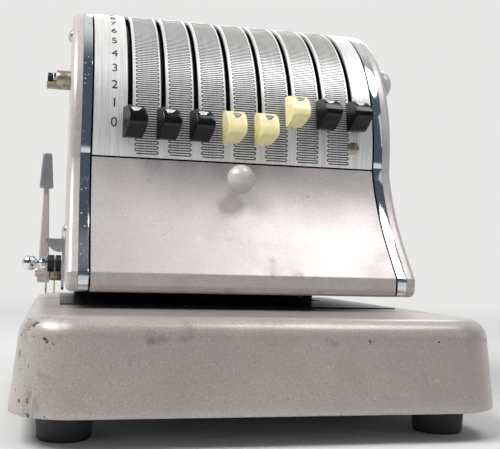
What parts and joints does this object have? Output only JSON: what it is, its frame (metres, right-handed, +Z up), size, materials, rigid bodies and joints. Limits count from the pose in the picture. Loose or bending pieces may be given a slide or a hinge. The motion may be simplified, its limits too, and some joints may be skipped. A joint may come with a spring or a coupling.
{
  "type": "check writer",
  "caption": "Desk check writer with a curved slotted face plate, sliding digit keys, a hinged front cover, a side handle and a wide base on rubber feet.",
  "frame": {"origin": "on the table, under the middle of the base's outline", "axes": "+X to the machine's right, +Y to its back, +Z up; the front faces -Y"},
  "size_m": [0.222, 0.261, 0.2247],
  "materials": {
    "taupe_paint": "semi-gloss metallic taupe enamel",
    "dark_paint": "satin black enamel",
    "chrome": "polished chrome",
    "brushed_face": "brushed bright steel",
    "steel": "machined steel",
    "black_steel": "blackened steel",
    "rubber": "matt dark rubber",
    "black_plastic": "glossy black",
    "cream_plastic": "glossy cream",
    "pearl_plastic": "pearl grey",
    "brass": "aged brass",
    "lens": "clear"
  },
  "bodies": {
    "root": {"base_shell": "taupe_paint", "bottom_plate": "dark_paint", "bed_plate": "dark_paint", "rubber_feet": "rubber", "foot_screws": "steel", "platen_guides": "steel", "rear_column": "dark_paint", "column_screws": "steel", "side_frame_left": "steel", "side_frame_right": "steel", "head_floor": "dark_paint", "cheek_left": "taupe_paint", "cheek_right": "taupe_paint", "trim_band_left": "chrome", "trim_band_right": "chrome", "face_plate": "brushed_face", "window_lenses": "lens", "face_screw": "steel", "top_cover": "taupe_paint", "cheek_screws": "steel", "lever_shaft": "steel", "lever_spacers": "steel", "detent_bar": "black_steel", "detent_plungers": "brass", "shaft_bushings": "brass", "return_spring": "black_steel", "roller_shaft": "steel", "cover_pins": "steel", "guide_rod": "chrome", "guide_bracket": "chrome", "side_stud": "brass"},
    "front_cover": {"front_cover": "taupe_paint", "knob_stem": "steel", "cover_knob": "pearl_plastic"},
    "platen": {"platen_yoke": "steel", "pull_rods": "steel", "platen_pad": "rubber"},
    "handle": {"main_shaft": "steel", "handle_arm": "steel", "handle_grip": "pearl_plastic"},
    "ink_roller": {"ink_roller": "rubber"},
    "check_guide": {"check_stop": "chrome", "guide_leaf": "brass"},
    "side_lever": {"side_lever": "taupe_paint"},
    "lever_1": {"type_lever_1": "black_steel", "key_1": "black_plastic"},
    "lever_2": {"type_lever_2": "black_steel", "key_2": "black_plastic"},
    "lever_3": {"type_lever_3": "black_steel", "key_3": "black_plastic"},
    "lever_4": {"type_lever_4": "black_steel", "key_4": "cream_plastic"},
    "lever_5": {"type_lever_5": "black_steel", "key_5": "cream_plastic"},
    "lever_6": {"type_lever_6": "black_steel", "key_6": "cream_plastic"},
    "lever_7": {"type_lever_7": "black_steel", "key_7": "black_plastic"},
    "lever_8": {"type_lever_8": "black_steel", "key_8": "black_plastic"}
  },
  "joints": [
    {"name": "key_1_turn", "type": "hinge", "parent": "root", "child": "lever_1", "pos_m": [0, 0.0489, 0.1403], "axis": [-1, 0, 0], "range_deg": [0, 64.8]},
    {"name": "key_2_turn", "type": "hinge", "parent": "root", "child": "lever_2", "pos_m": [0, 0.0489, 0.1403], "axis": [-1, 0, 0], "range_deg": [0, 64.8]},
    {"name": "key_3_turn", "type": "hinge", "parent": "root", "child": "lever_3", "pos_m": [0, 0.0489, 0.1403], "axis": [-1, 0, 0], "range_deg": [0, 64.8]},
    {"name": "key_4_turn", "type": "hinge", "parent": "root", "child": "lever_4", "pos_m": [0, 0.0489, 0.1403], "axis": [-1, 0, 0], "range_deg": [0, 64.8]},
    {"name": "key_5_turn", "type": "hinge", "parent": "root", "child": "lever_5", "pos_m": [0, 0.0489, 0.1403], "axis": [-1, 0, 0], "range_deg": [0, 64.8]},
    {"name": "key_6_turn", "type": "hinge", "parent": "root", "child": "lever_6", "pos_m": [0, 0.0489, 0.1403], "axis": [-1, 0, 0], "range_deg": [-7.2, 57.6]},
    {"name": "key_7_turn", "type": "hinge", "parent": "root", "child": "lever_7", "pos_m": [0, 0.0489, 0.1403], "axis": [-1, 0, 0], "range_deg": [-7.2, 57.6]},
    {"name": "key_8_turn", "type": "hinge", "parent": "root", "child": "lever_8", "pos_m": [0, 0.0489, 0.1403], "axis": [-1, 0, 0], "range_deg": [-7.2, 57.6]},
    {"name": "handle_pull", "type": "hinge", "parent": "root", "child": "handle", "pos_m": [0, 0.0879, 0.138], "axis": [1, 0, 0], "range_deg": [0, 60], "stiffness_Nm_per_rad": 0.35, "springref_deg": -68.75},
    {"name": "platen_lift", "type": "slide", "parent": "root", "child": "platen", "axis": [0, 0, 1], "range_m": [0, 0.0083]},
    {"name": "cover_open", "type": "hinge", "parent": "root", "child": "front_cover", "pos_m": [0, -0.0646, 0.069], "axis": [1, 0, 0], "range_deg": [0, 75]},
    {"name": "roller_spin", "type": "hinge", "parent": "root", "child": "ink_roller", "pos_m": [0, 0.10809, 0.07901], "axis": [1, 0, 0], "continuous": true},
    {"name": "check_guide_swing", "type": "hinge", "parent": "root", "child": "check_guide", "pos_m": [0, 0.0265, 0.0736], "axis": [-1, 0, 0], "range_deg": [0, 80]},
    {"name": "side_lever_swing", "type": "hinge", "parent": "root", "child": "side_lever", "pos_m": [0, 0.0565, 0.068], "axis": [1, 0, 0], "range_deg": [-15, 40]}
  ],
  "couplings": [
    {"joint": "platen_lift", "follows": "handle_pull", "m_per_rad": 0.007925}
  ]
}
